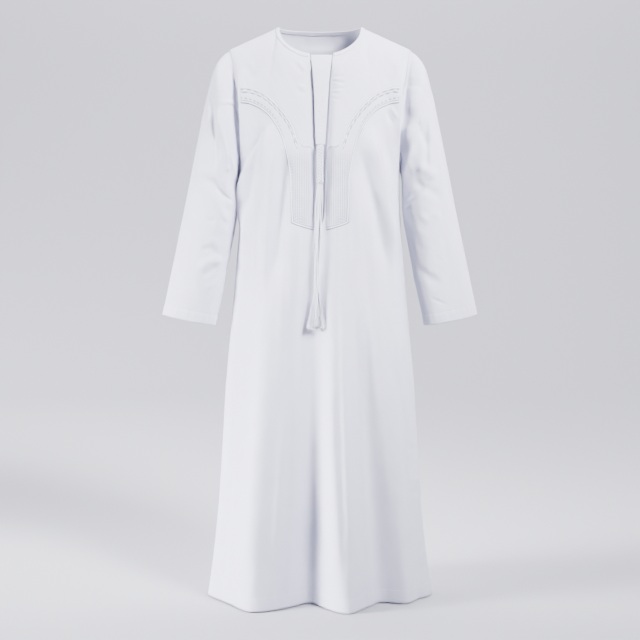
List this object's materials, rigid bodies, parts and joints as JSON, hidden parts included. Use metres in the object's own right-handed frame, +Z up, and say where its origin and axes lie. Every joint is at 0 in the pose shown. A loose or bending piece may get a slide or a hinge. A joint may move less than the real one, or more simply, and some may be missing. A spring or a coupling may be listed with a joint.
{
  "type": "thobe robe",
  "caption": "Long white robe with a collarless neck, set-in sleeves, curved embroidered chest bands and a long tassel, hanging filled out with no wearer.",
  "frame": {"origin": "midway between the two neck points, where the shoulder seams meet the neck: the robe hangs from here on its wearer's shoulders", "axes": "+Z up towards the neck, -Y the robe's front, +X its right side as seen from the front"},
  "size_m": [0.8, 0.405, 1.4525],
  "materials": {
    "cotton": "plain woven cotton, matt",
    "embroidery": "cotton covered with white stitching, slightly glossy",
    "thread": "twisted cotton thread, silky"
  },
  "bodies": {
    "root": {"front_panel": "cotton", "back_panel": "cotton", "sleeve_left": "cotton", "sleeve_right": "cotton", "placket_underlay": "cotton", "neck_binding": "cotton", "placket_tab": "embroidery", "chest_band_left": "embroidery", "chest_band_right": "embroidery", "tassel": "thread"}
  },
  "joints": []
}
